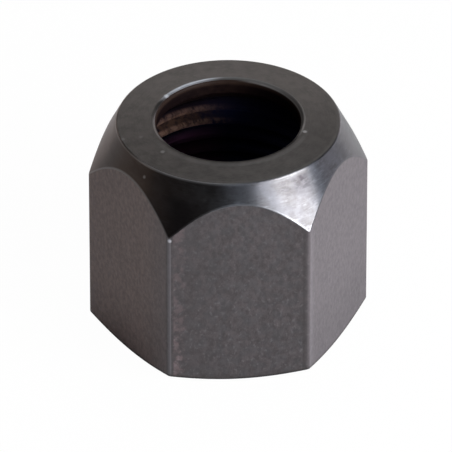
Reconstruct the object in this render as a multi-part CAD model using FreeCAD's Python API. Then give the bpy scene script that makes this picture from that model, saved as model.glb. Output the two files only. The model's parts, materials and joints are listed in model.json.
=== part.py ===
import FreeCAD, Part
import math
import os

# Collet nut: the hexagon nut that draws a collet into the end of a cutter spindle.
# The real thing is one piece of steel. A hexagon bar is turned to a cone at the nose
# and chamfered at the open end, and a stepped hole runs right through it: the thread
# from the open end, a relief groove that the tap runs out into, the taper that the
# collet seats on, and the plain bore that the cutter's shank comes out of.
#
# Millimetres. +Z runs up the axis, from the open end to the nose. The origin is in
# the middle of the open end, which is the face that the nut stands on. One corner of
# the hexagon lies on +X, so one flat faces along +Y and another along -Y.

# The spindle's thread, right-hand. The hole is left at the size it is tapped from.
thread_major_diameter = 18.0
thread_pitch = 1.5

# The cutter's shank, which passes through the nose.
shank_diameter = 12.7
shank_clearance = 0.15        # on the radius

# The hexagon.
wall_over_thread = 2.0        # from the thread's major radius out to a flat
overall_height = 21.1
corner_radius = 0.4           # on the six long corners

# The nose: a ring round the bore, then a cone that runs out onto the flats. The ring is
# very slightly crowned, so its top is where the bore's edge starts to round.
nose_face_inset = 0.9         # from a flat in to where the cone starts
nose_face_fall = 0.2          # from the ring's top down to the cone
nose_cone_angle = 27.2        # degrees from the axis
nose_edge_radius = 0.2
nose_bore_length = 1.4
nose_bore_rounding = 0.45

# The taper that presses on the collet.
seat_width = 1.2              # along the radius
seat_angle = 45.0             # degrees from the axis

# The groove at the end of the thread.
relief_clearance = 0.15       # past the thread's major radius
relief_length = 1.0

# The open end.
mouth_clearance = 0.15        # past the thread's major radius
mouth_angle = 45.0            # degrees from the axis
mouth_face_width = 1.2        # the flat ring that the nut stands on
mouth_chamfer_angle = 21.0    # degrees from that ring

# How far a cut runs on past the metal.
overrun = 1.0

# Radii that follow from the sizes above.
sharp_thread_depth = thread_pitch * math.cos(math.radians(30))
thread_major_radius = thread_major_diameter / 2
thread_minor_radius = thread_major_radius - 5 / 8 * sharp_thread_depth
flat_distance = thread_major_radius + wall_over_thread
corner_distance = flat_distance / math.cos(math.radians(30))
nose_bore_radius = shank_diameter / 2 + shank_clearance
nose_face_radius = flat_distance - nose_face_inset
nose_face_width = nose_face_radius - nose_bore_radius
seat_outer_radius = nose_bore_radius + seat_width
relief_radius = thread_major_radius + relief_clearance
mouth_radius = thread_major_radius + mouth_clearance
mouth_face_radius = mouth_radius + mouth_face_width

# Heights up the axis.
nose_rim_height = overall_height - nose_face_fall
nose_face_slope = nose_face_fall / (nose_face_width - nose_bore_rounding)
nose_corner_height = nose_rim_height + nose_face_slope * nose_face_width
mouth_top = (mouth_radius - thread_minor_radius) / math.tan(math.radians(mouth_angle))
seat_top = overall_height - nose_bore_length
seat_bottom = seat_top - seat_width / math.tan(math.radians(seat_angle))
relief_bottom = seat_bottom - relief_length


def turned(half_section):
    """The solid that a half section, given as (radius, height) points, sweeps out."""
    points = [FreeCAD.Vector(radius, 0, height) for radius, height in half_section]
    face = Part.Face(Part.makePolygon(points + points[:1]))
    return face.revolve(FreeCAD.Vector(0, 0, 0), FreeCAD.Vector(0, 0, 1), 360)


def rings(solid, radius, height):
    """The round edges of a solid that have this radius and lie at this height."""
    found = []
    for edge in solid.Edges:
        is_round = isinstance(edge.Curve, Part.Circle)
        if is_round and math.isclose(edge.Curve.Radius, radius, abs_tol=1e-4):
            if math.isclose(edge.Curve.Center.z, height, abs_tol=1e-4):
                found.append(edge)
    return found


def hexagon_bar():
    """The bar that the nut is cut from, with its long corners rounded."""
    corners = []
    for number in range(7):
        angle = math.radians(60 * number)
        corners.append(FreeCAD.Vector(math.cos(angle), math.sin(angle), 0) * corner_distance)
    length = overall_height + overrun
    bar = Part.Face(Part.makePolygon(corners)).extrude(FreeCAD.Vector(0, 0, length))
    upright = [edge for edge in bar.Edges if edge.BoundBox.ZLength > overall_height / 2]
    return bar.makeFillet(corner_radius, upright)


def turned_outline():
    """The form that turning leaves: chamfer, cone and rounded nose edge."""
    outside = corner_distance + overrun
    chamfer_rise = (outside - mouth_face_radius) * math.tan(math.radians(mouth_chamfer_angle))
    cone_drop = (outside - nose_face_radius) / math.tan(math.radians(nose_cone_angle))
    outline = turned([
        (0, 0),
        (mouth_face_radius, 0),
        (outside, chamfer_rise),
        (outside, nose_rim_height - cone_drop),
        (nose_face_radius, nose_rim_height),
        (nose_bore_radius, nose_corner_height),
        (0, nose_corner_height),
    ])
    return outline.makeFillet(nose_edge_radius, rings(outline, nose_face_radius, nose_rim_height))


def stepped_hole():
    """The hole from end to end, as the solid that comes out of it."""
    return turned([
        (0, -overrun),
        (mouth_radius, -overrun),
        (mouth_radius, 0),
        (thread_minor_radius, mouth_top),
        (thread_minor_radius, relief_bottom),
        (relief_radius, relief_bottom),
        (relief_radius, seat_bottom),
        (seat_outer_radius, seat_bottom),
        (nose_bore_radius, seat_top),
        (nose_bore_radius, overall_height + overrun),
        (0, overall_height + overrun),
    ])


def collet_nut():
    """The finished nut, one solid."""
    bored = hexagon_bar().common(turned_outline()).cut(stepped_hole())
    bore_edge = rings(bored, nose_bore_radius, nose_corner_height)
    return bored.makeFillet(nose_bore_rounding, bore_edge)


nut = collet_nut()
os.makedirs("parts", exist_ok=True)
nut.exportStep("parts/collet_nut.step")

print("solids", len(nut.Solids), "valid", nut.isValid(), "faces", len(nut.Faces))
print("volume, cubic mm:", round(nut.Volume, 1))
box = nut.optimalBoundingBox(False)
print("box, mm:", round(box.XLength, 3), round(box.YLength, 3), round(box.ZLength, 3))
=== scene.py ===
# %% [markdown]
# A collet nut closes a collet on the shank of a cutter. It is one piece of steel: a
# length of hexagon bar whose nose is turned to a cone, with a stepped hole through it.
# The nut is then blackened in a bath, which leaves a thin dark skin over every tool
# mark. This lesson makes it in the order of the workshop: bar, turning, hole, thread and
# edges, and then the finish and the light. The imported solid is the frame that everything
# is fitted to, so it is loaded first and its box is kept for later.

# %% Load the frame
import json
import math

import bmesh
import bpy
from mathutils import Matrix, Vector


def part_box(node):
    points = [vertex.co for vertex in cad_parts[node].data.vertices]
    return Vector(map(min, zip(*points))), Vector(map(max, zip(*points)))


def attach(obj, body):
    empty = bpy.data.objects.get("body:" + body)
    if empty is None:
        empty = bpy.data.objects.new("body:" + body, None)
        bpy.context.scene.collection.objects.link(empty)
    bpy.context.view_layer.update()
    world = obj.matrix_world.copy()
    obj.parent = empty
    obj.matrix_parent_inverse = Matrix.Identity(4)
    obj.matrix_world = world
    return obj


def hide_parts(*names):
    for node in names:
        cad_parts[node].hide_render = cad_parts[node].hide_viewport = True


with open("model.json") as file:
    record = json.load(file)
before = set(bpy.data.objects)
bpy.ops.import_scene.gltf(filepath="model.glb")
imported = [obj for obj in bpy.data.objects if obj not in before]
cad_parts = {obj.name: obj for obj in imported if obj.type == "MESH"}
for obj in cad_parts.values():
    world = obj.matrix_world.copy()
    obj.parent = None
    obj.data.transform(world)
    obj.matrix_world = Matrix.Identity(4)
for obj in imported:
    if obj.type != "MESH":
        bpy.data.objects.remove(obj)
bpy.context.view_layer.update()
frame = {"nodes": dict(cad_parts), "record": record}
print("nodes:", sorted(frame["nodes"]))

# %% [markdown]
# The big sizes come from the frame: the height and the distance from the axis to a flat
# are read from the node's box, and the two bores from its mounts. They could be typed in
# again, but then the two models could drift apart. All sizes are in millimetres, because
# that is how a machinist thinks, and MM turns them into Blender's metres where an operator
# needs it.

# %% Sizes from the frame
MM = 0.001
nut_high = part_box("collet_nut")[1]
mounts = {mount["name"]: mount for mount in frame["record"]["mounts"]}

overall_height = nut_high.z / MM
flat_distance = nut_high.y / MM
corner_distance = flat_distance / math.cos(math.radians(30))
thread_minor_radius = mounts["spindle_thread"]["dims"]["r_mm"]
nose_bore_radius = mounts["shank_bore"]["dims"]["r_mm"]
overrun = 1.0                                # how far a cut runs on past the metal

print("height", round(overall_height, 2), "across flats", round(2 * flat_distance, 2))

# %% [markdown]
# An operator works on whatever is selected, and the frame's nodes are selected after
# loading. So each step starts by picking its own piece and nothing else. The second
# helper picks edges of that piece by a test, which is how a corner or a rim is found
# without clicking on it. The third prints whether a mesh is closed and what it holds.

# %% Selecting and measuring
def only(piece):
    """Makes this piece the one that is selected and active, in object mode."""
    if bpy.context.mode != "OBJECT":
        bpy.ops.object.mode_set(mode="OBJECT")
    bpy.ops.object.select_all(action="DESELECT")
    piece.select_set(True)
    bpy.context.view_layer.objects.active = piece


def pick_edges(piece, test):
    """Opens a piece in edit mode with the edges selected that pass the test."""
    only(piece)
    bpy.ops.object.mode_set(mode="EDIT")
    bpy.ops.mesh.select_mode(type="EDGE")
    bpy.ops.mesh.select_all(action="DESELECT")
    mesh = bmesh.from_edit_mesh(piece.data)
    for edge in mesh.edges:
        if test(edge):
            edge.select_set(True)
    bmesh.update_edit_mesh(piece.data)


def report(piece):
    """Prints a mesh's faces, its volume and how many edges don't join two faces."""
    mesh = bmesh.new()
    mesh.from_mesh(piece.data)
    loose = sum(1 for edge in mesh.edges if len(edge.link_faces) != 2)
    volume = mesh.calc_volume() / MM ** 3
    print(f"{piece.name}: {len(mesh.faces)} faces, {volume:.1f} cubic mm, {loose} open edges")
    mesh.free()


# %% [markdown]
# The bar is a six-sided cylinder, longer than the nut so that the turning can cut both
# ends. A cylinder primitive has a corner on its Y axis, so it is turned by 30 degrees to
# put one on X, as the frame has it. Drawn bar has slightly rounded corners: a bevel of
# the long edges gives them. A bevel's width is measured along the flat, from the sharp
# corner to where the arc starts, and that is the radius times tan 30.

# %% The hexagon bar
corner_radius = 0.4


def is_long(edge):
    """Whether an edge runs the length of the bar."""
    return edge.calc_length() > overall_height * MM


def hexagon_bar():
    """The bar that the nut is cut from, standing on the origin."""
    bpy.ops.object.select_all(action="DESELECT")
    length = overall_height + 4 * overrun
    bpy.ops.mesh.primitive_cylinder_add(
        vertices=6,
        radius=corner_distance * MM,
        depth=length * MM,
        location=(0, 0, overall_height / 2 * MM),
    )
    bar = bpy.context.object
    bar.name = "blackened_nut"
    bpy.ops.object.transform_apply(location=True, rotation=True, scale=True)
    bpy.ops.object.mode_set(mode="EDIT")
    bpy.ops.mesh.select_all(action="SELECT")
    onto_x = math.radians(30)
    bpy.ops.transform.rotate(value=onto_x, orient_axis="Z", center_override=(0, 0, 0))
    pick_edges(bar, is_long)
    width = corner_radius * math.tan(math.radians(30))
    bpy.ops.mesh.bevel(offset=width * MM, offset_type="OFFSET", segments=5, profile=0.5)
    bpy.ops.object.mode_set(mode="OBJECT")
    return bar


nut = hexagon_bar()
report(nut)

# %% [markdown]
# Whatever a lathe cuts is a half section swept round the axis. The section is drawn as a
# chain: one point is put down, and each new point is extruded from the last. Spin then
# sweeps the chain through a full turn. The first and last rows land on each other, so
# doubles are merged, and the normals are made to point outwards, because spin can leave
# them inside out. An edge that should be round gets its arc in the section.

# %% Turning
TURN_STEPS = 240
merge_distance = 0.001                       # points closer than this become one


def arc(centre, radius, start, end, steps):
    """Points on an arc of a half section, from one angle to another, in degrees."""
    points = []
    for step in range(steps + 1):
        angle = math.radians(start + (end - start) * step / steps)
        points.append((centre[0] + radius * math.cos(angle), centre[1] + radius * math.sin(angle)))
    return points


def draw_chain(name, points):
    """A chain of edges through (radius, height) points, left in edit mode."""
    bpy.ops.object.select_all(action="DESELECT")
    bpy.ops.mesh.primitive_plane_add(size=MM)
    piece = bpy.context.object
    piece.name = name
    bpy.ops.object.mode_set(mode="EDIT")
    bpy.ops.mesh.select_mode(type="VERT")
    bpy.ops.mesh.select_all(action="SELECT")
    bpy.ops.mesh.merge(type="CENTER")
    radius, height = points[0]
    bpy.ops.transform.translate(value=(radius * MM, 0, height * MM))
    for here, there in zip(points, points[1:]):
        step = ((there[0] - here[0]) * MM, 0, (there[1] - here[1]) * MM)
        bpy.ops.mesh.extrude_vertices_move(TRANSFORM_OT_translate={"value": step})
    return piece


def close_up():
    """Merges doubles and turns the normals outwards, for the mesh in edit mode."""
    bpy.ops.mesh.select_all(action="SELECT")
    bpy.ops.mesh.remove_doubles(threshold=merge_distance * MM)
    bpy.ops.mesh.normals_make_consistent(inside=False)
    bpy.ops.object.mode_set(mode="OBJECT")


def turned(name, points):
    """The solid that a half section sweeps out round the axis."""
    piece = draw_chain(name, points)
    bpy.ops.mesh.select_all(action="SELECT")
    bpy.ops.mesh.spin(steps=TURN_STEPS, angle=2 * math.pi, center=(0, 0, 0), axis=(0, 0, 1))
    close_up()
    report(piece)
    return piece


# %% [markdown]
# The outside of the nut is a chamfer at the open end, then the bar's flats, then a cone
# and a nose. The ring on the nose is very slightly crowned, so its top is where the bore's
# edge starts to round. The cone starts a little inside the flats, so it is given from
# them, and its edge moves with the bar if that gets another size.

# %% Sizes of the outside
nose_face_inset = 0.9                        # from a flat in to where the cone starts
nose_face_fall = 0.2                         # from the ring's top down to the cone
nose_cone_angle = math.radians(27.2)         # from the axis
nose_edge_radius = 0.2
nose_bore_rounding = 0.45
mouth_chamfer_angle = math.radians(21)       # from the face that the nut stands on
mouth_face_radius = 10.35

nose_face_radius = flat_distance - nose_face_inset
nose_rim_height = overall_height - nose_face_fall
ring_width = nose_face_radius - nose_bore_radius
nose_face_slope = math.atan(nose_face_fall / (ring_width - nose_bore_rounding))
nose_corner_height = nose_rim_height + ring_width * math.tan(nose_face_slope)
print("ring round the bore:", round(ring_width, 2), "mm wide")

# %% [markdown]
# One section turns the whole outside. Where the cone cuts the bar's flats it leaves the
# scalloped arcs that every hexagon nut has, so nothing needs to be drawn for them: the
# boolean's intersection makes them. The exact solver is used because its cuts are clean.
# The section runs out past the corners of the bar. The centre of an arc between two lines
# lies one radius in from both.

# %% Turn the outside
def turned_outline():
    """The half section of the outside, from the middle of the open end to the nose."""
    outside = corner_distance + overrun
    chamfer_rise = (outside - mouth_face_radius) * math.tan(mouth_chamfer_angle)
    cone_drop = (outside - nose_face_radius) / math.tan(nose_cone_angle)
    lean_of_cone = nose_cone_angle
    lean_of_ring = math.radians(90) - nose_face_slope
    share = nose_edge_radius / (1 + math.cos(lean_of_ring - lean_of_cone))
    edge_centre = (
        nose_face_radius - share * (math.cos(lean_of_cone) + math.cos(lean_of_ring)),
        nose_rim_height - share * (math.sin(lean_of_cone) + math.sin(lean_of_ring)),
    )
    start, end = math.degrees(lean_of_cone), math.degrees(lean_of_ring)
    chamfer = [(0, 0), (mouth_face_radius, 0), (outside, chamfer_rise)]
    cone = [(outside, nose_rim_height - cone_drop)]
    nose_edge = arc(edge_centre, nose_edge_radius, start, end, steps=7)
    ring = [(nose_bore_radius, nose_corner_height), (0, nose_corner_height)]
    return chamfer + cone + nose_edge + ring


def cut(piece, tool, operation):
    """Applies a boolean to a piece and throws the tool away."""
    only(piece)
    modifier = piece.modifiers.new("cut", "BOOLEAN")
    modifier.operation = operation
    modifier.solver = "EXACT"
    modifier.object = tool
    bpy.ops.object.modifier_apply(modifier="cut")
    bpy.data.objects.remove(tool)
    bpy.ops.object.mode_set(mode="EDIT")
    close_up()
    report(piece)


cut(nut, turned("turned_form", turned_outline()), "INTERSECT")

# %% [markdown]
# The hole is stepped. From the open end it is the thread, then a groove that the tap
# runs out into, then the taper that presses on the collet, and last the short plain bore
# of the nose, with its edge well rounded. The section is drawn as the metal that comes
# out, and a difference takes it away. The thread's length is bored a little too small
# here, so that the tap in the next step cuts all of its surface and no two faces lie on
# each other.

# %% Bore the stepped hole
thread_major_radius = 9.0
thread_clearance = 0.15                      # of the groove and the mouth, past the thread
tapping_allowance = 0.3                      # left in the hole for the tap to cut
nose_bore_length = 1.4
seat_width = 1.2                             # along the radius, and as much up the axis
groove_length = 1.0

tapping_radius = thread_minor_radius - tapping_allowance
groove_radius = thread_major_radius + thread_clearance
mouth_radius = thread_major_radius + thread_clearance
seat_outer_radius = nose_bore_radius + seat_width
seat_top = overall_height - nose_bore_length
seat_bottom = seat_top - seat_width
groove_bottom = seat_bottom - groove_length


def stepped_hole():
    """The half section of the hole, from below the open end to above the nose."""
    edge_centre = (nose_bore_radius + nose_bore_rounding, overall_height - nose_bore_rounding)
    edge_end = 90 - math.degrees(nose_face_slope)
    bore_edge = arc(edge_centre, nose_bore_rounding, 180, edge_end, steps=12)
    return [
        (0, -overrun),
        (mouth_radius, -overrun),
        (mouth_radius, 0),
        (tapping_radius, mouth_radius - tapping_radius),
        (tapping_radius, groove_bottom),
        (groove_radius, groove_bottom),
        (groove_radius, seat_bottom),
        (seat_outer_radius, seat_bottom),
        (nose_bore_radius, seat_top),
    ] + bore_edge + [
        (bore_edge[-1][0], overall_height + overrun),
        (0, overall_height + overrun),
    ]


cut(nut, turned("stepped_hole", stepped_hole()), "DIFFERENCE")

# %% [markdown]
# A thread is one tooth space wound up the axis. The section of a single pitch is drawn
# as a chain: a flat crest, a flank, the root, and the other flank. Where it starts round
# the axis decides where the crests show in the bore.

# %% The section of one tooth
thread_pitch = 1.5
thread_start = math.radians(-30)
flank_lean = math.radians(30)                # from a level line
crest_rounding = 0.05
turns_below = 2                              # so that the winding starts clear of the nut


def tooth_section():
    """One pitch of the thread, from the middle of a crest to the middle of the next."""
    crest = thread_pitch / 4
    root = thread_pitch / 8
    flank = (thread_pitch - crest - root) / 2
    foot = -turns_below * thread_pitch
    rise = crest_rounding * math.tan(flank_lean)
    inner_radius = thread_minor_radius + crest_rounding
    lower = arc((inner_radius, foot + crest - rise), crest_rounding, 180, 120, steps=5)
    upper = arc((inner_radius, foot + thread_pitch + rise), crest_rounding, 240, 180, steps=5)
    root_start = (thread_major_radius, foot + crest + flank)
    root_end = (thread_major_radius, foot + crest + flank + root)
    start = (thread_minor_radius, foot + rise)
    return [start] + lower + [root_start, root_end] + upper


print("points in the tooth's section:", len(tooth_section()))

# %% [markdown]
# The Screw modifier winds the tooth, rising one pitch in each turn, and the turns join
# into one surface. Both ends are then sliced off flat by a bisect that fills the cut,
# which makes the tap a closed solid. It is used as a cutter, as the real tap is, and it
# stops inside the groove. A helix could also be faked with a bump, but then its crests
# would not stand out from the wall where the bore's edge cuts them off.

# %% Cut the thread
THREAD_STEPS = 180
slice_tolerance = 0.0001                     # a point this near the slice lies on it


def wind(plug):
    """Winds the tooth into a helix that is longer than the nut."""
    winding = plug.modifiers.new("winding", "SCREW")
    winding.axis = "Z"
    winding.angle = 2 * math.pi
    winding.screw_offset = thread_pitch * MM
    winding.iterations = math.ceil(overall_height / thread_pitch) + 2 * turns_below
    winding.steps = THREAD_STEPS
    winding.render_steps = THREAD_STEPS
    winding.use_merge_vertices = True
    winding.merge_threshold = merge_distance * MM
    only(plug)
    bpy.ops.object.modifier_apply(modifier="winding")


def slice_off(height, way):
    """Cuts off what lies past a height, upwards for a way of 1, and closes the cut."""
    bpy.ops.object.mode_set(mode="EDIT")
    bpy.ops.mesh.select_all(action="SELECT")
    bpy.ops.mesh.bisect(
        plane_co=(0, 0, height * MM),
        plane_no=(0, 0, way),
        use_fill=True,
        clear_outer=True,
        threshold=slice_tolerance * MM,
    )
    close_up()


def tap():
    """A threaded plug, from below the open end to halfway up the groove."""
    plug = draw_chain("tap", tooth_section())
    bpy.ops.mesh.select_all(action="SELECT")
    bpy.ops.transform.rotate(value=thread_start, orient_axis="Z", center_override=(0, 0, 0))
    bpy.ops.object.mode_set(mode="OBJECT")
    wind(plug)
    slice_off(-overrun, -1)
    slice_off((groove_bottom + seat_bottom) / 2, 1)
    report(plug)
    return plug


cut(nut, tap(), "DIFFERENCE")

# %% [markdown]
# No machined edge is perfectly sharp: it is broken with a file or a brush, and the tiny
# flat left there catches the light. It is what draws the bright lines round the scallops.
# The edges to break are found by their fold, which is the angle between the two faces,
# and by their distance from the axis. The narrow strips of the rounded corners fold less
# than that, so they're left. Wide faces should still shade flat, so the normals are
# weighted by area: the broken edge then takes the whole of the turn.

# %% Break the edges
edge_break = 0.09
innermost_edge = mouth_face_radius - 0.05    # the edge of the standing face still counts
least_fold = math.radians(15)
smooth_fold = math.radians(24)               # an edge that folds more stays sharp


def is_outer_edge(edge):
    """Whether an edge is on the outside and folds enough to be broken."""
    middle = (edge.verts[0].co + edge.verts[1].co) / 2
    outer = middle.xy.length > innermost_edge * MM
    return outer and len(edge.link_faces) == 2 and edge.calc_face_angle() > least_fold


def break_edges(piece):
    """Bevels the outer edges and weights the normals."""
    pick_edges(piece, is_outer_edge)
    bpy.ops.mesh.bevel(offset=edge_break * MM, segments=3, profile=0.5, clamp_overlap=False)
    close_up()
    only(piece)
    bpy.ops.object.shade_smooth_by_angle(angle=smooth_fold)
    weights = piece.modifiers.new("weights", "WEIGHTED_NORMAL")
    weights.keep_sharp = True
    bpy.ops.object.modifier_apply(modifier="weights")


break_edges(nut)
report(nut)

# %% [markdown]
# The finish is written as sums. A Wire is the output of a node, and adding or multiplying
# one adds the Math node that does it, so a mask reads as a formula. The reflected forms
# let a plain number stand first, as in 1 - mask.

# %% Sums of wires
class Wire:
    """The output of a node, which sums can be made with."""

    def __init__(self, recipe, socket):
        self.recipe = recipe
        self.socket = socket

    def maths(self, operation, first, second):
        """What a Math node makes of two values, each a wire or a plain number."""
        return self.recipe.node("Math", {"operation": operation}, {0: first, 1: second})

    def __add__(self, other):
        return self.maths("ADD", self, other)

    def __sub__(self, other):
        return self.maths("SUBTRACT", self, other)

    def __rsub__(self, other):
        return self.maths("SUBTRACT", other, self)

    def __mul__(self, other):
        return self.maths("MULTIPLY", self, other)

    def __truediv__(self, other):
        return self.maths("DIVIDE", self, other)

    def __pow__(self, other):
        return self.maths("POWER", self, other)

    __radd__ = __add__
    __rmul__ = __mul__


# %% [markdown]
# Every other node comes from one method, which sets the node's settings first and then
# fills or links its sockets by name. The methods after it are the handful of nodes that a
# finish is mixed from: a value without its sign, a smooth step, a band between two steps,
# a blend of two colours, two kinds of scattered pattern, and a bump.

# %% Recipes
class Recipe:
    """The node tree of a material or the world, emptied and filled again."""

    def __init__(self, owner):
        owner.use_nodes = True
        self.tree = owner.node_tree
        self.tree.nodes.clear()

    def node(self, kind, settings, inputs, output=0):
        """Adds a node and gives back one of its outputs."""
        node = self.tree.nodes.new("ShaderNode" + kind)
        for name, value in settings.items():
            setattr(node, name, value)
        for name, value in inputs.items():
            if isinstance(value, Wire):
                self.tree.links.new(value.socket, node.inputs[name])
            else:
                node.inputs[name].default_value = value
        return Wire(self, node.outputs[output]) if node.outputs else node

    def absolute(self, value):
        """A value without its sign."""
        return self.node("Math", {"operation": "ABSOLUTE"}, {0: value})

    def ease(self, value, low, high):
        """0 below low and 1 above high, with a smooth step between."""
        inputs = {"Value": value, "From Min": low, "From Max": high}
        return self.node("MapRange", {"interpolation_type": "SMOOTHSTEP"}, inputs)

    def band(self, value, rise, fall):
        """1 from the end of the rise to the start of the fall, and 0 outside them."""
        return self.ease(value, *rise) - self.ease(value, *fall)

    def blend(self, amount, first, second):
        """A colour between two colours."""
        inputs = {0: amount, 6: first, 7: second}
        return self.node("Mix", {"data_type": "RGBA"}, inputs, 2)

    def noise(self, place, size, detail, roughness):
        """Cloudy values round 0.5, with patches of about this size in millimetres."""
        inputs = {"Vector": place, "Scale": 1 / size, "Detail": detail, "Roughness": roughness}
        return self.node("TexNoise", {}, inputs)

    def cells(self, place, size):
        """The distance to the nearest of many scattered points, in parts of their spacing."""
        return self.node("TexVoronoi", {}, {"Vector": place, "Scale": 1 / size})

    def bump(self, height, strength, distance):
        """A normal that is tilted by a height pattern, with its depth in millimetres."""
        inputs = {"Height": height, "Strength": strength, "Distance": distance * MM}
        return self.node("Bump", {}, inputs)


# %% [markdown]
# Every pattern here is laid out from the piece's own coordinates, in millimetres, so it
# stays on the steel whichever way the nut is seen. The marks of the lathe run round the
# axis, so they need the distance from the axis. A point on the unit circle stands for the
# direction round the axis: it has no seam, as an angle would have. Stretching a noise
# along one of these gives lines that follow the tool. As the nut stands in its picture,
# its front flat faces along -Y, and the flat at the right is turned 60 degrees from that.

# %% Places on the nut
class Place:
    """Where a point of the surface lies, as wires in millimetres."""

    def __init__(self, recipe):
        self.recipe = recipe
        source = recipe.node("TexCoord", {}, {}, "Object")
        self.point = self.scaled(source, (1 / MM, 1 / MM, 1 / MM))
        self.x = recipe.node("SeparateXYZ", {}, {0: self.point})
        parts = self.x.socket.node.outputs
        self.y = Wire(recipe, parts["Y"])
        self.z = Wire(recipe, parts["Z"])
        self.radius = (self.x * self.x + self.y * self.y) ** 0.5

    def scaled(self, vector, factors):
        """The place with each of its three numbers multiplied."""
        settings = {"operation": "MULTIPLY"}
        return self.recipe.node("VectorMath", settings, {0: vector, 1: factors})

    def towards(self, x, y):
        """How far a point lies from the axis, measured in one level direction."""
        return self.x * x + self.y * y

    def towards_right_flat(self):
        """How far a point lies from the axis, square to the flat at the right."""
        return self.towards(0.87, -0.5)

    def round_axis(self, along, across):
        """A place for marks that run round the axis, given how each way is stretched."""
        inputs = {
            0: self.x / self.radius * along,
            1: self.y / self.radius * along,
            2: across,
        }
        return self.recipe.node("CombineXYZ", {}, inputs)

    def above_chamfer(self):
        """How far over the open end's chamfer a point lies, straight up."""
        return self.z - (self.radius - mouth_face_radius) * math.tan(mouth_chamfer_angle)

    def under_flat(self):
        """How far inside the nearest flat a point lies."""
        reach = self.recipe.absolute(self.y)
        for side in (math.sin(math.radians(60)), -math.sin(math.radians(60))):
            other_reach = self.recipe.absolute(self.x * side + self.y * 0.5)
            reach = reach.maths("MAXIMUM", reach, other_reach)
        return flat_distance - reach

    def nick(self, spot, size):
        """1 in a small round knock at a spot of the surface, and 0 away from it."""
        settings = {"operation": "DISTANCE"}
        apart = self.recipe.node("VectorMath", settings, {0: self.point, 1: spot}, "Value")
        return 1 - self.recipe.ease(apart, size * 0.3, size)


# %% [markdown]
# All four finishes are the same blackened steel, so they share a shader. What varies over
# the surface comes in as wires, and what is the same everywhere is set on the shader's
# own socket. Turning the highlight by a quarter lays its spread across the tool marks.

# %% Steel
def steel(name):
    """A new metal material, with the recipe and the places to write it with."""
    material = bpy.data.materials.new(name)
    recipe = Recipe(material)
    return material, recipe, Place(recipe)


def finish_steel(recipe, inputs, metallic, anisotropic=0.0, gloss=0.5):
    """Puts the shader on a steel, with the inputs that vary and the ones set by number."""
    fixed = {
        "Metallic": metallic,
        "Specular IOR Level": gloss,
        "Anisotropic": anisotropic,
        "Anisotropic Rotation": 0.25,
    }
    shader = recipe.node("BsdfPrincipled", {}, {**fixed, **inputs})
    recipe.node("OutputMaterial", {}, {"Surface": shader})
    print("nodes in this finish:", len(recipe.tree.nodes))


# %% [markdown]
# The flats are the skin of the drawn bar. It is matt and mottled, at about a third of a millimetre,
# with marks a little longer up the nut than across it. It is browner on the left and dark in the
# middle, with painted shade darkening the front flat towards its left. The right flat is painted
# greyer and lighter, as painted light from the lamps on that side, with painted shade low down. The
# front, the left and the right each get their own pair of colours for the mottling, which meet at
# the corners. A single even colour would look like paint.

# %% Skin of the flats
soot_and_shade = (0.0230, 0.0184, 0.0186, 1)
ash = (0.0450, 0.0366, 0.0376, 1)
cool_ash = (0.0328, 0.0334, 0.0362, 1)
brown_soot = (0.073, 0.048, 0.043, 1)
brown_ash = (0.110, 0.072, 0.064, 1)
painted_light_soot = (0.0515, 0.0428, 0.0462, 1)
painted_light_ash = (0.0693, 0.0572, 0.0607, 1)


def on_right_flat(recipe, place):
    """1 on the flat at the right, up to its corner."""
    return recipe.ease(place.towards_right_flat(), 10.6, 10.95)


def flats_skin(recipe, place, speckle):
    """The colour of the bare skin, all round the hexagon, with its painted light and shade."""
    cloud = recipe.noise(place.point, size=1.5, detail=2.0, roughness=0.5)
    mottle = recipe.ease(speckle * 0.8 + cloud * 0.2, 0.34, 0.66)
    tint = recipe.noise(place.point, size=1.0, detail=2.0, roughness=0.5)
    tint = recipe.ease(tint, 0.44, 0.58)
    towards_left = recipe.ease(place.x, 0.0, -6.0)
    low_down = recipe.ease(place.z, 9.0, 2.0)
    near_front = recipe.ease(place.y, -7.0, -10.8)

    front = recipe.blend(tint * 0.25, recipe.blend(mottle, soot_and_shade, ash), cool_ash)
    # painted shade: the front flat darkens towards its left
    front = recipe.blend(towards_left * 0.35, front, soot_and_shade)
    # painted light: the right flat is paler, with painted shade low down; near its front corner the
    # left flat takes some of this colour
    right = recipe.blend(mottle, painted_light_soot, painted_light_ash)
    right = recipe.blend(low_down * 0.25, right, soot_and_shade)
    left = recipe.blend(mottle, brown_soot, brown_ash)
    left = recipe.blend(near_front * 0.55, left, right)
    on_left = recipe.ease(place.towards_right_flat(), -0.1, -0.5)
    colour = recipe.blend(on_left, front, left)
    return recipe.blend(on_right_flat(recipe, place), colour, right)


# %% [markdown]
# A used nut has small marks, and they gather at its edges. Beside the front flat's left
# corner the skin has begun to rust, most of all low down. Light flecks are scattered over
# the flats, fewer towards the top. Each mark is a mask times a strength, and it blends
# the colour so far with the colour of the mark, so they can be written one by one.

# %% Rust and flecks
rust_skin = (0.096, 0.066, 0.068, 1)
bare_steel_and_sheen = (0.165, 0.150, 0.160, 1)


def on_left_half(recipe, place):
    """1 on the left of the nut, where the left corner of the front flat is."""
    return 1 - recipe.ease(place.towards_right_flat(), 0, 5)


def with_rust(recipe, place, colour):
    """Ragged rust in a strip beside the left corner."""
    patch = recipe.noise(place.point, size=0.7, detail=2.0, roughness=0.6)
    strip = recipe.ease(place.radius + patch * 1.6, 12.90, 13.25)
    strip = strip - recipe.ease(place.radius, 12.46, 12.53)
    fading_up = 0.65 - recipe.ease(place.z, 2.0, 9.0) * 0.30
    rusty = strip * recipe.ease(patch, 0.38, 0.62) * on_left_half(recipe, place) * fading_up
    return recipe.blend(rusty, colour, rust_skin)


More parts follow.
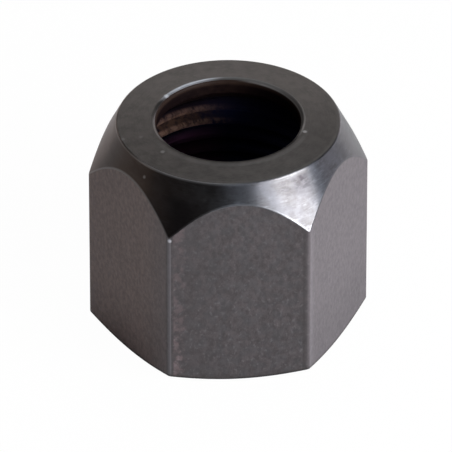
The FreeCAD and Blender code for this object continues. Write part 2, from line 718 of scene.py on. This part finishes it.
def with_flecks(recipe, place, colour):
    """Small light flecks, from fine grains and from scattered points."""
    upright = place.scaled(place.point, (1.0, 1.0, 0.7))
    grains = recipe.noise(upright, size=0.26, detail=1.0, roughness=0.5)
    points = recipe.ease(recipe.cells(place.point, size=1.2), 0.18, 0.04)
    flecks = recipe.ease(grains, 0.58, 0.76) + points * 0.7
    fewer_above = 1 - recipe.ease(place.z, 8.0, 15.0) * 0.4
    return recipe.blend(flecks * fewer_above * 0.14, colour, bare_steel_and_sheen)


# %% [markdown]
# The long corners are where a spanner bears. The left one is painted as a thin light line, a
# painted highlight, with one bright knock at its top. At the right one the front flat ends in a
# narrow strip of painted shade, and the next flat starts with a narrow painted highlight. The foot
# of the flats, over the chamfer, is painted black, as painted shade where the bottom edge faces the
# dark floor under the nut. These marks have no depth, so they are painted into the colour.

# %% Corners and foot
bright_steel = (0.32, 0.31, 0.33, 1)
shade_black = (0.012, 0.009, 0.008, 1)
corner_knock = (-6.25, -10.95, 15.66)


def with_right_corner_shade_and_highlight(recipe, place, colour):
    """A strip of painted shade inside the right corner and a painted highlight past it."""
    on_front_flat = recipe.ease(place.y, -9.0, -10.0)
    inside_corner = recipe.band(place.x, (5.68, 5.84), (6.30, 6.46))
    # painted shade: a dark strip where the front flat meets the right corner
    colour = recipe.blend(inside_corner * on_front_flat * 0.31, colour, shade_black)
    # painted highlight: a light strip where the right flat starts
    past_corner = recipe.band(place.y, (-10.98, -10.80), (-10.70, -9.90))
    painted_highlight = past_corner * on_right_flat(recipe, place) * 0.13
    return recipe.blend(painted_highlight, colour, bare_steel_and_sheen)


def with_left_corner(recipe, place, colour):
    """The painted highlight of the left corner and the knock at its top."""
    on_corner = recipe.ease(place.radius, 12.580, 12.615) * on_left_half(recipe, place)
    # painted highlight: the light line down the left corner
    colour = recipe.blend(on_corner * 0.38, colour, bare_steel_and_sheen)
    knock = place.nick(corner_knock, size=0.25)
    return recipe.blend(knock * 0.85, colour, bright_steel)


def with_foot_shade(recipe, place, colour):
    """Painted shade in a dark line over the chamfer."""
    foot_shade = 1 - recipe.ease(place.above_chamfer(), 0.10, 0.40)
    # painted shade: black along the foot of the flats
    return recipe.blend(foot_shade * 0.75, colour, shade_black)


# %% [markdown]
# Colour, roughness and bump all follow one speckle, so that a light fleck is also a smooth
# one, as on the real skin. The flats are only about a third metallic: the bath's skin is
# an oxide, which scatters light more than it mirrors it.

# %% Finish of the flats
def flats_finish():
    """The matt, mottled skin of the drawn bar."""
    material, recipe, place = steel("blackened_flat")
    upright = place.scaled(place.point, (1.0, 1.0, 0.72))
    speckle = recipe.noise(upright, size=0.36, detail=3.0, roughness=0.65)
    colour = flats_skin(recipe, place, speckle)
    colour = with_rust(recipe, place, colour)
    colour = with_flecks(recipe, place, colour)
    colour = with_right_corner_shade_and_highlight(recipe, place, colour)
    colour = with_left_corner(recipe, place, colour)
    colour = with_foot_shade(recipe, place, colour)
    inputs = {
        "Base Color": colour,
        "Roughness": 0.58 - speckle * 0.16,
        "Normal": recipe.bump(speckle, strength=0.4, distance=0.02),
    }
    finish_steel(recipe, inputs, metallic=0.35)
    return material


# %% [markdown]
# The cone is turned with a fine feed and then blackened, so it is the shiniest face. Its marks run
# round the axis: a fine set, a wide set, and streaks. The skin is browner on the left. Round the
# far left side it is painted a pale tan, a painted sheen where the outline catches the light.

# %% Skin of the turned cone
turned_black = (0.045, 0.042, 0.042, 1)
turned_dark = (0.060, 0.058, 0.060, 1)
turned_grey = (0.082, 0.080, 0.086, 1)
turned_pale = (0.110, 0.108, 0.114, 1)
turned_brown = (0.056, 0.040, 0.034, 1)
painted_tan_sheen = (0.150, 0.086, 0.066, 1)


def turned_skin(recipe, place, marks, streaks, cloud):
    """The colour of the turned skin, before any wear, with a painted tan sheen at the far left."""
    dark = recipe.blend(recipe.ease(marks, 0.3, 0.7), turned_black, turned_dark)
    colour = recipe.blend(recipe.ease(cloud, 0.35, 0.7) * 0.7, dark, turned_grey)
    colour = recipe.blend(recipe.ease(streaks, 0.52, 0.72) * 0.5, colour, turned_pale)
    towards_left = recipe.ease(place.x, -2.0, -8.0)
    colour = recipe.blend(towards_left * 0.72, colour, turned_brown)
    # painted sheen: pale tan round the far left side of the cone
    far_left = recipe.ease(place.x, -6.0, -9.0) * recipe.ease(place.y, -3.0, 1.0)
    return recipe.blend(far_left * 0.6, colour, painted_tan_sheen)


# %% [markdown]
# Several kinds of wear need the same places on the cone, so those are worked out once.
# The turn is the sine of the angle round the axis, 0 in front and 1 at the right. It
# marks out the part of the cone that mirrors the key light.

# %% Places on the cone
class Cone:
    """Where on the cone a point lies, as masks from 0 to 1."""

    def __init__(self, recipe, place):
        self.nose_edge = 1 - recipe.ease(place.radius, nose_face_radius, nose_face_radius + 0.12)
        self.below_edge = recipe.band(place.radius, (10.22, 10.35), (10.7, 11.4))
        self.front = recipe.ease(place.y, -4.0, -6.5)
        self.right = recipe.ease(place.x, -2.0, 2.0)
        self.turn = place.x / place.radius
        self.lit = recipe.band(self.turn, (0.25, 0.42), (0.58, 0.64)) * self.front
        self.left_edge = self.nose_edge * recipe.ease(place.y, -3.5, -0.5)
        self.left_edge = self.left_edge * recipe.ease(place.x, 0.0, -4.0)


# %% [markdown]
# Edges lose their skin first. The nose's edge and the scallops are rubbed light, more on the left
# of the front. Where the key light falls on them their light line is stronger, a painted highlight.
# There is one small knock. The colour is darker low on the cone's front left and in a thin band
# under the nose's edge. The part that the light falls on shows fine dark scuffs, as cloudy swirls
# and as streaks near the nose, and painted shade dims the upper right end of it.

# %% Wear, painted highlight and shade of the turned cone
turned_marks_and_shade = (0.016, 0.014, 0.016, 1)
worn_steel_and_highlight = (0.400, 0.395, 0.410, 1)
worn_tan_and_highlight = (0.240, 0.185, 0.165, 1)
cone_knock = (-8.14, -6.80, 19.9)


def with_worn_and_lit_edges(recipe, place, cone, colour):
    """Light lines along the nose's edge and the scallops, partly wear and partly painted highlight,
    and a knock.
    """
    at_nose = recipe.ease(place.z, 8.0, 10.0)
    scallop = (1 - recipe.ease(place.under_flat(), 0.05, 0.11)) * at_nose
    over_front = recipe.ease(place.y, -10.7, -10.9)
    # painted highlight: the lit terms make the edge lines brighter where the key light falls
    edge_wear_and_highlight = (cone.front * 0.40 + 0.2) * (1 - cone.right) + cone.lit * 0.22
    scallop_wear_and_highlight = 0.22 - cone.right * 0.16 + cone.lit * over_front * 0.16
    wear_and_highlight = cone.nose_edge * edge_wear_and_highlight + scallop * scallop_wear_and_highlight
    wear_and_highlight = wear_and_highlight + place.nick(cone_knock, size=0.22) * 0.35
    return recipe.blend(wear_and_highlight, colour, worn_steel_and_highlight)


def with_dark_patches(recipe, place, cone, colour):
    """Darker colour low at the front left and in a band under the nose's edge."""
    front_left = recipe.band(place.x, (-7.5, -5.5), (-5.2, -2.2))
    low_down = recipe.ease(place.radius, 10.5, 11.2)
    under_edge = recipe.band(place.radius, (10.14, 10.22), (10.5, 10.9))
    left_of_middle = 1 - recipe.ease(place.x, -2.5, 2.5)
    darkness = low_down * front_left * 0.75
    darkness = darkness + under_edge * cone.front * left_of_middle * 0.22
    return recipe.blend(darkness, colour, turned_marks_and_shade)


def with_scuffs(recipe, place, cone, colour, streaks):
    """Fine dark scuffs in the part that the light falls on, and painted shade at its upper right
    end.
    """
    upright = place.scaled(place.point, (1.0, 1.0, 0.8))
    swirl = recipe.noise(upright, size=0.9, detail=3.0, roughness=0.6)
    # painted shade: dims the upper right end of the lit part
    painted_shade_end = cone.below_edge * recipe.ease(cone.turn, 0.42, 0.54) * 0.42
    scuffed = recipe.ease(swirl, 0.42, 0.60) * 0.17
    scuffed = scuffed + cone.below_edge * recipe.ease(streaks, 0.42, 0.58) * 0.30
    return recipe.blend((scuffed + painted_shade_end) * cone.lit, colour, turned_marks_and_shade)


# %% [markdown]
# A turned surface spreads a lamp's picture across its marks, up and down the cone.
# Anisotropic says so, and the bump adds the marks that are wide enough to see. At the left the
# nose's edge is painted a light tan, partly wear and partly a painted highlight, and it is less
# metallic there than elsewhere.

# %% Finish of the turned cone
def turned_finish():
    """The shiny skin of the cone, the chamfer and the broken edges."""
    material, recipe, place = steel("blackened_turning")
    marks = recipe.noise(place.round_axis(1.6, place.z), size=0.16, detail=3.0, roughness=0.7)
    wide_marks = recipe.noise(place.round_axis(2.5, place.z), size=0.9, detail=2.0, roughness=0.6)
    streaks = recipe.noise(place.round_axis(3.0, place.z), size=0.36, detail=3.0, roughness=0.65)
    cloud = recipe.noise(place.point, size=1.6, detail=3.0, roughness=0.6)
    cone = Cone(recipe, place)
    colour = turned_skin(recipe, place, marks, streaks, cloud)
    colour = with_worn_and_lit_edges(recipe, place, cone, colour)
    colour = with_dark_patches(recipe, place, cone, colour)
    # partly wear, partly painted highlight: a light tan line on the nose's edge at the left
    colour = recipe.blend(cone.left_edge * 0.9, colour, worn_tan_and_highlight)
    colour = with_scuffs(recipe, place, cone, colour, streaks)
    inputs = {
        "Base Color": colour,
        "Roughness": 0.24 + cloud * 0.12 + wide_marks * 0.08,
        "Normal": recipe.bump(marks + wide_marks * 2, strength=0.3, distance=0.004),
    }
    finish_steel(recipe, inputs, metallic=1 - cone.left_edge * 0.7, anisotropic=0.85)
    return material


# %% [markdown]
# The ring round the bore was faced: the tool ran across it from the edge to the middle.
# It is satin, with faint rings, and less shiny than the cone. The skin is painted a little darker
# towards the front and the right, as painted shade. Its outer border there has a faint painted
# highlight, and a few small knocks show as light dots.

# %% Skin of the faced ring
faced_dark = (0.040, 0.036, 0.033, 1)
faced_grey = (0.066, 0.058, 0.054, 1)
faced_pale = (0.082, 0.077, 0.072, 1)
faced_shade = (0.012, 0.011, 0.010, 1)
rubbed_steel_and_sheen = (0.220, 0.215, 0.215, 1)
right_knock = (6.67, -2.57, 21.09)
front_left_knock = (-6.31, -4.61, 21.05)
left_knock = (-8.06, -2.01, 21.03)
far_left_knock = (-9.70, -2.10, 20.92)


def faced_skin(recipe, place, rings, cloud):
    """The colour of the ring, with painted shade towards the front and the right, and a faint
    painted highlight on its outer border there.
    """
    colour = recipe.blend(recipe.ease(cloud, 0.3, 0.7), faced_dark, faced_grey)
    colour = recipe.blend(recipe.ease(rings, 0.4, 0.7) * 0.35, colour, faced_pale)
    front_right = recipe.ease(place.towards(0.6, -0.8), -1.0, 8.0)
    right_end = recipe.ease(place.x, 3.5, 8.0) * recipe.ease(place.y, 6.0, -3.0)
    # painted shade: darker towards the front and the right
    colour = recipe.blend(front_right * 0.25 + right_end * 0.17, colour, faced_shade)
    border = recipe.ease(place.radius, 9.65, 9.90)
    # painted highlight: a faint light line on the outer border at the front right
    return recipe.blend(border * front_right * 0.06, colour, rubbed_steel_and_sheen)


def knocks_on_ring(place):
    """The small light dots, each with its own strength."""
    return (
        place.nick(right_knock, size=0.28)
        + place.nick(front_left_knock, size=0.28) * 0.6
        + place.nick(far_left_knock, size=0.30) * 0.3
        + place.nick(left_knock, size=0.25) * 0.2
    )


# %% [markdown]
# The bore's rounded rim is part of the faced end. Its light and shade are painted on, by direction
# round the bore. There is a painted glint at the back left, painted grey sheen at the far side and
# the right, and painted shade, black, at the front and the left. In front a paler line runs beside
# it on the ring. So the rim is split by direction, and each part has its colour.

# %% Rim of the bore
rim_painted_shade = (0.012, 0.010, 0.010, 1)
rim_painted_sheen = (0.092, 0.088, 0.086, 1)
rim_painted_light = (0.122, 0.118, 0.115, 1)
rim_painted_glint = (0.300, 0.300, 0.320, 1)


def with_painted_rim(recipe, place, colour, on_rim, front):
    """The rim's painted glint, sheen and shade, from one direction to the next."""
    back_left = recipe.ease(place.towards(-0.5, 0.87), 5.8, 6.7)
    far_side = (1 - front) * recipe.ease(place.towards(1, 1), -1.0, 2.0)
    left = (1 - front) * recipe.ease(place.towards(1, 1), -1.0, -3.0) * (1 - back_left)
    right = far_side * recipe.ease(place.x, 1.0, 4.0)
    beside_rim = recipe.band(place.radius, (7.10, 7.22), (7.40, 7.65))
    colour = recipe.blend(beside_rim * front * 0.09, colour, rubbed_steel_and_sheen)
    # painted sheen at the far side and the right, and a painted glint at the back left
    colour = recipe.blend(on_rim * far_side, colour, rim_painted_sheen)
    colour = recipe.blend(on_rim * right, colour, rim_painted_light)
    colour = recipe.blend(on_rim * back_left, colour, rim_painted_glint)
    # painted shade: the rim's front and left are painted black
    near_rim = 1 - recipe.ease(place.radius, nose_bore_radius + 0.30, nose_bore_radius + 0.62)
    black = near_rim * front * 0.85 + on_rim * left * 0.66
    return recipe.blend(black, colour, rim_painted_shade)


# %% [markdown]
# The rim is smoother than the ring, apart from its front, painted black as shade, which is rougher.
# The rings are only a shallow bump, because the feed was fine. One knock at the back left, beside
# the painted glint, is painted as bright as a glint itself.

# %% Finish of the faced ends
knock_glint_steel = (0.540, 0.540, 0.560, 1)
rim_knock_glint = (-5.20, 4.31, 21.02)


def faced_finish():
    """The satin skin of the ring, its rim and the face that the nut stands on."""
    material, recipe, place = steel("blackened_facing")
    round_bore = place.round_axis(2.0, place.radius)
    rings = recipe.noise(round_bore, size=0.12, detail=3.0, roughness=0.6)
    cloud = recipe.noise(place.point, size=1.1, detail=3.0, roughness=0.6)
    on_rim = 1 - recipe.ease(place.radius, nose_bore_radius + 0.38, nose_bore_radius + 0.50)
    front = recipe.ease(place.y, -1.5, -4.5)
    colour = faced_skin(recipe, place, rings, cloud)
    colour = with_painted_rim(recipe, place, colour, on_rim, front)
    colour = recipe.blend(knocks_on_ring(place), colour, rubbed_steel_and_sheen)
    # painted glint: a knock on the rim, painted as bright as the glint beside it
    colour = recipe.blend(place.nick(rim_knock_glint, size=0.34), colour, knock_glint_steel)
    inputs = {
        "Base Color": colour,
        "Roughness": 0.42 + cloud * 0.10 - on_rim * (0.15 - front * 0.55),
        "Normal": recipe.bump(rings, strength=0.25, distance=0.004),
    }
    finish_steel(recipe, inputs, metallic=0.8, anisotropic=0.3)
    return material


# %% [markdown]
# Inside the hole the skin is thick, as the bath's salts stay there longest. It is a warm black near
# the nose and turns blue-black deep down. Low on the left a red-purple patch is painted light, for
# the dim light that reaches there. The first space between two crests is painted brown at the left,
# as painted light where the lamps reach it, and the plain bore is a little brown. The lip, where
# the rim's rounding turns down into the bore, is black, and it is painted paler at the right, as
# painted light.

# %% Skin of the hole
hole_black = (0.0030, 0.0015, 0.0017, 1)
hole_blue = (0.0150, 0.0185, 0.0560, 1)
hole_painted_light_red = (0.200, 0.085, 0.160, 1)
hole_brown_and_light = (0.062, 0.034, 0.023, 1)
hole_lip = (0.0120, 0.0070, 0.0055, 1)
lip_painted_light = (0.185, 0.172, 0.168, 1)


def hole_skin(recipe, place, cloud):
    """The colour of the hole's wall from the lip down, with its painted light, before the crests
    get theirs.
    """
    left = recipe.ease(place.x, 1.4, -3.6)
    deep = 1 - recipe.ease(place.z, 15.0, 18.5)
    # painted light: low on the left, and in the first space between crests at the left
    lower_turns = left * (1 - recipe.ease(place.z, 14.2, 14.7))
    first_space = recipe.band(place.z, (15.3, 15.7), (17.0, 17.2))
    plain_bore = recipe.ease(place.z, 17.2, 17.6) * recipe.ease(place.x, 5.0, 0.0)
    plain_bore = plain_bore * (0.07 - recipe.ease(place.x, -0.5, -4.5) * 0.06)
    browned_and_lit = left * first_space * 0.9 + plain_bore
    browned_and_lit = browned_and_lit * recipe.ease(cloud, 0.25, 0.65)
    # painted light: the lip is paler at the right
    right_lip = recipe.ease(place.z, 20.83, 21.00) * recipe.ease(place.x, 1.0, 4.0)

    colour = recipe.blend(deep * (1 - left * 0.8), hole_black, hole_blue)
    colour = recipe.blend(recipe.ease(place.z, 20.45, 20.70), colour, hole_lip)
    colour = recipe.blend(right_lip, colour, lip_painted_light)
    colour = recipe.blend(lower_turns, colour, hole_painted_light_red)
    return recipe.blend(browned_and_lit, colour, hole_brown_and_light)


# %% [markdown]
# The crests nearest the nose are painted lighter at the left, as painted light where the lamps
# reach into the bore. It is smeared round the axis like wear, and rougher. A crest is where the
# surface comes nearest to the axis, and the painted light runs on a little way down its flanks.
# Only the turns nearest the nose get it, and only at the left. The wall hardly mirrors anything, so
# it isn't metallic and has next to no gloss.

# %% Finish of the hole
crest_light_colour = (0.208, 0.118, 0.090, 1)


def crest_painted_light(recipe, place, smear):
    """Painted light on the crests nearest the nose, at the left."""
    in_thread = 1 - recipe.ease(place.z, groove_bottom - 0.05, groove_bottom + 0.05)
    crest_start, crest_end = thread_minor_radius + 0.05, thread_minor_radius + 0.34
    on_crest = 1 - recipe.ease(place.radius, crest_start, crest_end)
    left = recipe.ease(place.x, 2.2, -2.6)
    first_turns = recipe.ease(place.z, 14.6, 15.2) - recipe.ease(place.z, 16.3, 16.7) * 0.68
    return in_thread * on_crest * left * first_turns * recipe.ease(smear, 0.28, 0.66)


def hole_finish():
    """The thick dark skin of everything inside the hole."""
    material, recipe, place = steel("blackened_hole")
    cloud = recipe.noise(place.point, size=0.6, detail=3.0, roughness=0.6)
    round_wall = place.round_axis(9.0, place.z * 0.9)
    smear = recipe.noise(round_wall, size=0.5, detail=3.0, roughness=0.7)
    # painted light on the crests nearest the nose, at the left
    crest_light = crest_painted_light(recipe, place, smear)
    inputs = {
        "Base Color": recipe.blend(crest_light, hole_skin(recipe, place, cloud), crest_light_colour),
        "Roughness": 0.40 + cloud * 0.14 + crest_light * 0.12,
        "Normal": recipe.bump(smear, strength=0.4, distance=0.03),
    }
    finish_steel(recipe, inputs, metallic=0.0, gloss=0.03)
    return material


# %% [markdown]
# Each face of the mesh now gets one of the four finishes, by where it lies and which way
# it points. What lies near the axis, between the two ends, belongs to the hole. A face
# that points nearly straight up or down is a faced end, and so is the upper part of the
# bore's rounded edge. What leans by more than a few degrees is cone or chamfer, and what's
# left is a flat or a rounded corner. A broken edge leans too, so it counts as turned, and
# its bright line ends up on the right side of the scallop.

# %% Give each face its finish
FLAT, TURNED, FACED, HOLE = range(4)
hole_reach = groove_radius + 0.1             # the hole's faces lie inside this radius
standing_height = 0.01                       # and above the face that the nut stands on
faced_lean = 0.95                            # how upright a normal is on a faced end
rim_lean = 0.73                              # halfway round the bore's rounded edge
turned_lean = 0.12                           # at least, on anything turned


def finish_of(face):
    """Which of the four finishes a face has."""
    radius = face.center.xy.length / MM
    height = face.center.z / MM
    lean = abs(face.normal.z)
    down_the_hole = height < overall_height - nose_bore_rounding or lean < rim_lean
    if radius < hole_reach and height > standing_height and down_the_hole:
        return HOLE
    if lean > faced_lean or radius < nose_bore_radius + nose_bore_rounding:
        return FACED
    if lean > turned_lean:
        return TURNED
    return FLAT


def dress(piece):
    """Gives a piece the four finishes, and each of its faces one of them."""
    piece.data.materials.clear()
    for finish in (flats_finish(), turned_finish(), faced_finish(), hole_finish()):
        piece.data.materials.append(finish)
    counts = [0, 0, 0, 0]
    for face in piece.data.polygons:
        face.material_index = finish_of(face)
        counts[face.material_index] += 1
    print("faces of flats, turnings, faced ends and hole:", counts)


dress(nut)
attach(nut, "root")
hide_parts("collet_nut")

# %% [markdown]
# The floor is a wide white sheet under the nut. It should look white to the camera and in
# the steel, and still take the nut's soft shadow. So outside the nut it is nearly all an
# even glow that only those rays see, and the rest is a plain matt white that the lamps
# light. Under the hole there is no glow: the floor there is as dim as the light that
# falls through the nut leaves it.

# %% The floor
floor_width = 4.0                            # metres
floor_white = 0.98
floor_in_steel = 0.35                        # how strongly the steel mirrors the floor
floor_matt = (0.85, 0.85, 0.85, 1)
floor_glow = (1, 1, 1, 1)


def white_floor():
    """A plain white sheet under the nut."""
    bpy.ops.object.select_all(action="DESELECT")
    bpy.ops.mesh.primitive_plane_add(size=floor_width)
    floor = bpy.context.object
    floor.name = "floor"
    material = bpy.data.materials.new("white_floor")
    recipe = Recipe(material)
    camera_ray = recipe.node("LightPath", {}, {}, "Is Camera Ray")
    glossy_ray = recipe.node("LightPath", {}, {}, "Is Glossy Ray")
    through_ray = recipe.node("LightPath", {}, {}, "Is Transmission Ray")
    radius = Place(recipe).radius
    clear_of_nut = recipe.ease(radius, 12, 20)
    mirrored = glossy_ray * clear_of_nut * floor_in_steel
    seen = (camera_ray + through_ray) * floor_white + mirrored
    matt = recipe.node("BsdfDiffuse", {}, {"Color": floor_matt})
    glow = recipe.node("Emission", {}, {"Color": floor_glow, "Strength": 1.0})
    white = recipe.node("MixShader", {}, {0: seen, 1: matt, 2: glow})
    outside = recipe.ease(radius, thread_major_radius, mouth_face_radius)
    surface = recipe.node("MixShader", {}, {0: outside, 1: matt, 2: white})
    recipe.node("OutputMaterial", {}, {"Surface": surface})
    floor.data.materials.append(material)
    return floor


print("floor:", white_floor().name, floor_width, "m wide")

# %% [markdown]
# The picture was taken from well above and far away, with a long lens, so the nut's
# upright edges stay nearly parallel. Directions are given as the views give them: the
# azimuth goes round the nut and the elevation above the floor. A constraint could aim the
# camera, but a direction turned into a rotation once is simpler and can't go wrong later.

# %% The camera
camera_azimuth = -5.09
camera_distance = 673.0 * MM                 # along the floor
camera_height = 468.5 * MM
camera_aim = Vector((-0.208, 0.018, 9.483)) * MM
camera_lens = 715.4
nearest_seen = 0.1                           # metres from the camera


def way_to(azimuth, elevation):
    """The unit vector from the nut towards a direction, given in degrees."""
    around = math.radians(azimuth)
    up = math.radians(elevation)
    return Vector((math.sin(around) * math.cos(up), -math.cos(around) * math.cos(up), math.sin(up)))


def add_camera():
    """The camera of the picture, made and set as the scene's own."""
    camera = bpy.data.objects.new("camera", bpy.data.cameras.new("camera"))
    bpy.context.collection.objects.link(camera)
    camera.location = way_to(camera_azimuth, 0) * camera_distance + Vector((0, 0, camera_height))
    looking = camera_aim - camera.location
    camera.rotation_euler = looking.to_track_quat("-Z", "Y").to_euler()
    camera.data.lens = camera_lens
    camera.data.clip_start = nearest_seen
    bpy.context.scene.camera = camera


add_camera()
looking_down = math.degrees(math.atan2(camera_height, camera_distance))
print("the camera looks down by", round(looking_down, 1), "degrees")

# %% [markdown]
# Dark steel shows its surroundings more than its own colour, so the light is mostly a
# matter of what stands where. A softbox is an area lamp that faces the nut. Its sides are
# given as the angles that it covers, and its power is worked out from how bright it should
# look, where 1 is white paper. A real softbox fades out towards its side, so a graded one
# is built of layers that end together and start one after another.

# %% Softboxes
def softbox(name, azimuth, elevation, distance, wide, tall, brightness, colour):
    """A rectangular lamp that faces the nut, at an azimuth from the camera's own."""
    data = bpy.data.lights.new(name, "AREA")
    data.shape = "RECTANGLE"
    data.size = 2 * distance * math.tan(math.radians(wide / 2))
    data.size_y = 2 * distance * math.tan(math.radians(tall / 2))
    data.energy = brightness * math.pi * data.size * data.size_y
    data.color = colour
    lamp = bpy.data.objects.new(name, data)
    bpy.context.collection.objects.link(lamp)
    centre = Vector((0, 0, overall_height / 2 * MM))
    lamp.location = centre + way_to(camera_azimuth + azimuth, elevation) * distance
    lamp.rotation_euler = (centre - lamp.location).to_track_quat("-Z", "Y").to_euler()
    print(name, "gives", round(data.energy, 3), "W")


def graded_softbox(name, starts, end, elevation, distance, tall, brightness, colour):
    """A softbox that fades out at the side nearer the camera."""
    for number, start in enumerate(starts, 1):
        middle = (start + end) / 2
        share = brightness / len(starts)
        softbox(f"{name}_{number}", middle, elevation, distance, end - start, tall, share, colour)


# %% [markdown]
# The key softbox stands low on the right and makes the broad highlight on the cone. Two
# graded ones between it and the camera lead from the highlight into the black of the
# cone's left, so it has no hard edge. The pale side of the nut comes from three low
# softboxes further round to the right. Two behind it, one low and one high, fill the ring
# round the bore and make its rim glint. Two faint ones, at the left and overhead, lift the
# left outline out of the black.

# %% The lamps
daylight = (0.96, 0.98, 1.0)
cool_daylight = (0.90, 0.94, 1.0)
blue_sky = (0.74, 0.86, 1.0)
deep_blue_sky = (0.70, 0.82, 1.0)
grey_sky = (0.84, 0.86, 1.0)
pale_sky = (0.86, 0.94, 1.0)
rose_white = (0.95, 0.90, 0.96)
warm_white = (1.0, 0.94, 0.92)
bulb_light = (1.0, 0.88, 0.75)
plain_white = (1.0, 1.0, 1.0)

softbox("key_softbox", azimuth=61, elevation=12, distance=0.5,
        wide=32, tall=26, brightness=27.4, colour=daylight)
graded_softbox("front_softbox", starts=(26, 29, 32), end=47, elevation=17, distance=0.55,
               tall=18, brightness=20.5, colour=cool_daylight)
graded_softbox("pale_softbox", starts=(-5, 2, 10), end=36, elevation=20, distance=0.6,
               tall=16, brightness=3.0, colour=blue_sky)
softbox("side_softbox", azimuth=84, elevation=12, distance=0.6,
        wide=14, tall=26, brightness=3.8, colour=deep_blue_sky)
softbox("low_softbox", azimuth=111, elevation=5, distance=0.7,
        wide=40, tall=12, brightness=3.6, colour=grey_sky)
softbox("rim_softbox", azimuth=141, elevation=5, distance=0.6,
        wide=18, tall=14, brightness=6.3, colour=rose_white)
softbox("back_softbox", azimuth=175, elevation=18, distance=0.5,
        wide=44, tall=24, brightness=2.2, colour=warm_white)
softbox("high_softbox", azimuth=158, elevation=60, distance=0.5,
        wide=30, tall=22, brightness=2.2, colour=pale_sky)
softbox("left_softbox", azimuth=-100, elevation=12, distance=0.6,
        wide=50, tall=26, brightness=0.5, colour=bulb_light)
softbox("top_softbox", azimuth=-110, elevation=72, distance=0.7,
        wide=50, tall=50, brightness=0.5, colour=plain_white)

# %% [markdown]
# The rest of the room is dim, which keeps the left of the cone black. The camera sees it
# as white all the same, because the world asks what kind of ray is looking. The Standard
# view shows each colour as it is written, with no film look over it.

# %% The room
room_grey = (0.030, 0.028, 0.028, 1)
room_white = (1, 1, 1, 1)


def dim_room():
    """The world: white where the camera sees it, dim grey for everything else."""
    world = bpy.data.worlds.new("room")
    bpy.context.scene.world = world
    recipe = Recipe(world)
    camera_ray = recipe.node("LightPath", {}, {}, "Is Camera Ray")
    grey = recipe.node("Background", {}, {"Color": room_grey, "Strength": 1.0})
    white = recipe.node("Background", {}, {"Color": room_white, "Strength": 1.0})
    surface = recipe.node("MixShader", {}, {0: camera_ray, 1: grey, 2: white})
    recipe.node("OutputWorld", {}, {"Surface": surface})


dim_room()
bpy.context.scene.view_settings.view_transform = "Standard"
